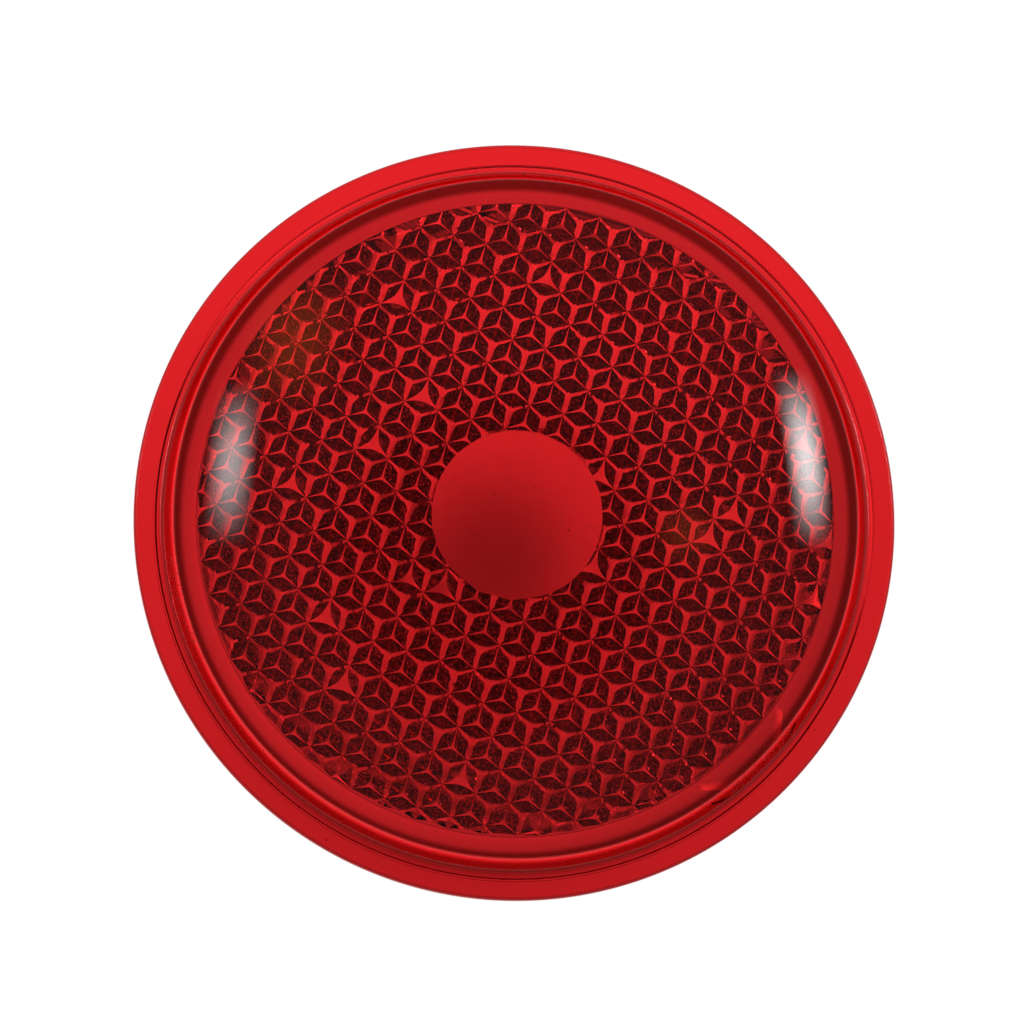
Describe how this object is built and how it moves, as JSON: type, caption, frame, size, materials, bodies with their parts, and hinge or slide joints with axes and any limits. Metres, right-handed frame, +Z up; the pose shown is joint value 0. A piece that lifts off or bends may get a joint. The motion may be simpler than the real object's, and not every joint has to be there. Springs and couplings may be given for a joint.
{
  "type": "driveway marker reflector",
  "caption": "Round red press-on prism reflector: domed clear lens with a stepped rim, cube-corner prisms, smooth centre disc, welded back cover and foam adhesive back.",
  "frame": {"origin": "centre of the adhesive face, on the reflector's axis", "axes": "+Y along the axis, out of the back towards the stake or post; the lens looks along -Y; +Z up and +X to the right as seen from the front"},
  "size_m": [0.0826, 0.0124, 0.0826],
  "materials": {
    "red_acrylic": "clear moulded gloss",
    "cover_plastic": "clear, lightly frosted",
    "foam": "translucent closed-cell acrylic foam",
    "liner_film": "translucent release film"
  },
  "bodies": {
    "reflector": {"lens": "red_acrylic", "back_cover": "cover_plastic", "foam_pad": "foam"},
    "liner": {"release_liner": "liner_film"}
  },
  "joints": [
    {"name": "liner_peel", "type": "slide", "parent": "reflector", "child": "liner", "axis": [0, 1, 0], "range_m": [0, 0.015]}
  ]
}
